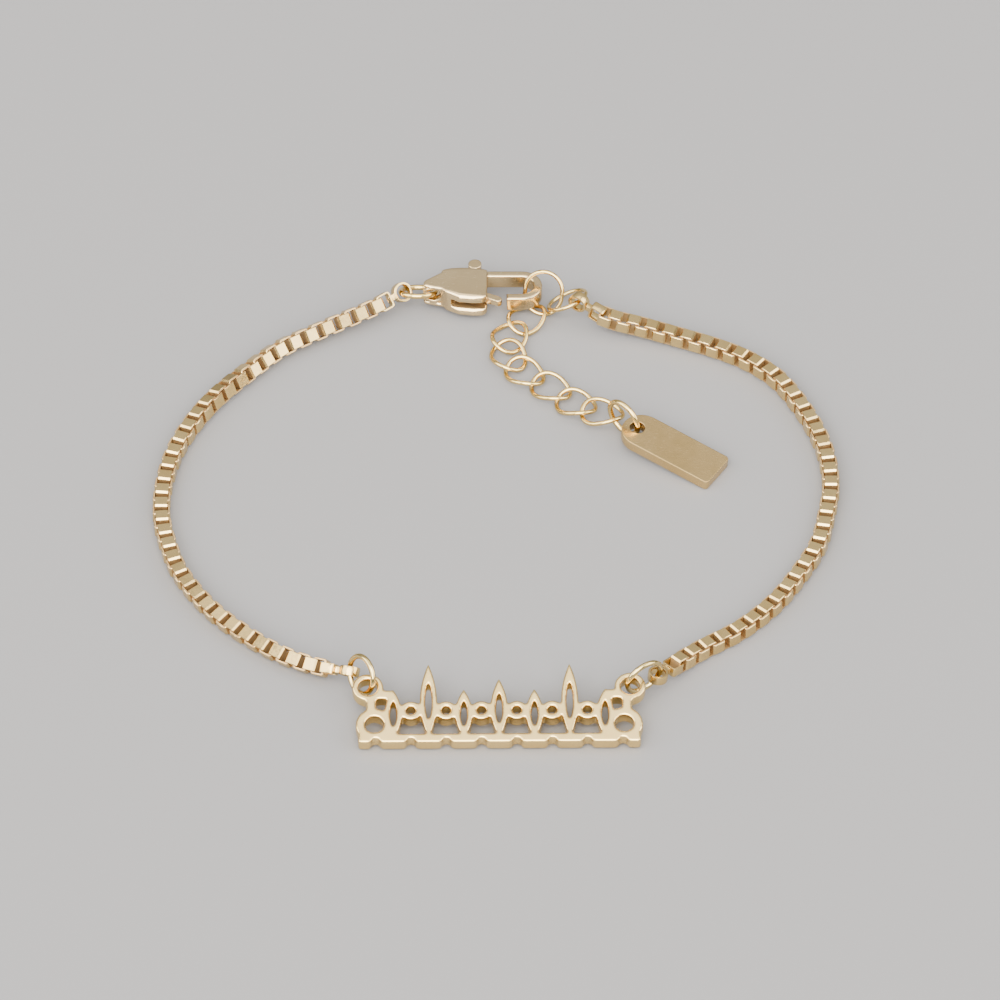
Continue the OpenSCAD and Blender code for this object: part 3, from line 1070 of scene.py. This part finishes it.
@dataclass
class Studio:
    """Floor, lights and camera.

    Attributes:
        target: Point that the camera looks at.
        distance: Distance of the camera from it.
        elevation: Angle of the camera above the horizon, in degrees.
        field: Width of the view at the target.
        sensor: Width of the camera's sensor, in millimetres.
        floor_half: Half the length of the floor's sides.
        floor_drop: Depth of the floor under the bracelet.
        floor_colour: Colour of the floor.
        room_light: Strength of the room's own light.
        horizon: Brightness of that light at the horizon, as a share.
    """

    target: tuple[float, float, float] = (0.29 * MM, 1.29 * MM, 0.0)
    distance: float = 1.1
    elevation: float = 45.0
    field: float = 80.645 * MM
    sensor: float = 36.0
    floor_half: float = 1.5
    floor_drop: float = 0.02 * MM
    floor_colour: tuple[float, float, float] = (0.184, 0.1785, 0.176)
    room_light: float = 0.92
    horizon: float = 0.42

    def build(self) -> None:
        """Builds the floor, the lights and the camera."""
        self._floor()
        self._world()
        for softbox in SOFTBOXES:
            softbox.hang()
        self._camera()

    def _floor(self) -> None:
        """Lays the plain pale floor."""
        bm = bmesh.new()
        bmesh.ops.create_grid(bm, x_segments=1, y_segments=1, size=self.floor_half)
        bmesh.ops.translate(bm, verts=bm.verts, vec=(0, 0, -self.floor_drop))
        mesh = bpy.data.meshes.new("floor")
        bm.to_mesh(mesh)
        bm.free()
        floor = bpy.data.objects.new("floor", mesh)
        bpy.context.scene.collection.objects.link(floor)
        material = bpy.data.materials.new("pale_floor")
        material.use_nodes = True
        shader = material.node_tree.nodes["Principled BSDF"]
        shader.inputs["Base Color"].default_value = (*self.floor_colour, 1.0)
        shader.inputs["Roughness"].default_value = 0.6
        mesh.materials.append(material)

    def _world(self) -> None:
        """Fills the room with soft light that fades towards the horizon."""
        world = bpy.data.worlds.new("room")
        world.use_nodes = True
        tree = world.node_tree
        glow = tree.nodes["Background"]
        place = tree.nodes.new("ShaderNodeTexCoord")
        height = tree.nodes.new("ShaderNodeSeparateXYZ")
        ramp = tree.nodes.new("ShaderNodeValToRGB")
        ramp.color_ramp.elements[0].position = 0.1
        low = self.horizon
        ramp.color_ramp.elements[0].color = (low, low, low, 1.0)
        ramp.color_ramp.elements[1].position = 0.7
        ramp.color_ramp.elements[1].color = (1.0, 1.0, 1.0, 1.0)
        tree.links.new(place.outputs["Generated"], height.inputs["Vector"])
        tree.links.new(height.outputs["Z"], ramp.inputs["Fac"])
        tree.links.new(ramp.outputs["Color"], glow.inputs["Color"])
        glow.inputs["Strength"].default_value = self.room_light
        bpy.context.scene.world = world

    def _camera(self) -> None:
        """Sets the camera at the photograph's angle."""
        camera = bpy.data.cameras.new("camera")
        camera.sensor_width = self.sensor
        camera.lens = self.sensor * self.distance / self.field
        camera.clip_end = 10.0
        holder = bpy.data.objects.new("camera", camera)
        rise = math.radians(self.elevation)
        back = Vector((0, -math.cos(rise), math.sin(rise)))
        holder.location = Vector(self.target) + self.distance * back
        holder.rotation_euler = (math.pi / 2 - rise, 0, 0)
        bpy.context.scene.collection.objects.link(holder)
        bpy.context.scene.camera = holder


@dataclass
class Bracelet:
    """The whole bracelet, lying closed as a loop.

    Attributes:
        plate_turn: Turn of the plate about the upright, in degrees.
        plate_lean: Angle that the plate leans back, in degrees.
        curb_links: Number of curb links in the extender.
    """

    plate_turn: float = 0.5
    plate_lean: float = 12.0
    curb_links: int = 7

    def build(self) -> None:
        """Builds every piece in order."""
        self._plate()
        for half in Half:
            self._chain(half.value)
        self._rings()
        self._extender()
        self._clasp()
        RoundedSolid(edge_width=0.1 * MM).build("tag", "end_tag", TAG_GOLD)

    def _plate(self) -> None:
        """Builds the openwork plate, worn soft along every edge."""
        turn = Matrix.Rotation(math.radians(self.plate_turn), 4, "Z")
        lean = Matrix.Rotation(math.radians(self.plate_lean), 4, "X")
        CastSolid(fineness=0.07 * MM, passes=25).build(
            "nameplate", "openwork_plate", PLATE_GOLD, turn @ lean
        )

    @staticmethod
    def _chain(half: str) -> None:
        """Builds one half of the chain, its two ends and its ring at the plate.

        Args:
            half: Name of the half.
        """
        BoxChain().build(f"box_chain_{half}", f"chain_{half}", CHAIN_GOLD)
        for end in ("front", "back"):
            RoundedSolid(edge_width=0.035 * MM).build(
                f"chain_end_{half}_{end}", f"end_{half}_{end}", CHAIN_GOLD
            )
        JumpRing().build(f"plate_ring_{half}", f"ring_plate_{half}", RING_GOLD)

    @staticmethod
    def _rings() -> None:
        """Builds the rings behind the chain: three round ones and the oval."""
        for ring in ("clasp_ring", "chain_ring", "tag_ring"):
            JumpRing().build(ring, f"{ring}_wire", WIRE_GOLD)
        OvalRing().build("hook_ring", "hook_ring_wire", WIRE_GOLD)

    def _extender(self) -> None:
        """Builds the curb links of the extender."""
        for number in range(1, self.curb_links + 1):
            CurbLink().build(
                f"extender_link_{number}", f"curb_link_{number}", WIRE_GOLD
            )

    @staticmethod
    def _clasp() -> None:
        """Builds the clasp's case and its thumb lever."""
        level = Matrix.Identity(4)
        CastSolid(crown=0.42 * MM, broad=(0.2, 0.5), slot=0.9 * MM).build(
            "clasp_body", "clasp_case", SATIN_GOLD, level
        )
        CastSolid(body=Body.LEVER, fineness=0.035 * MM, passes=6).build(
            "clasp_lever", "thumb_lever", SATIN_GOLD, level
        )


def main() -> None:
    """Builds the scene."""
    logging.basicConfig(level=logging.INFO, format="%(name)s: %(message)s")
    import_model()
    Studio().build()
    Bracelet().build()


if __name__ == "__main__":
    main()
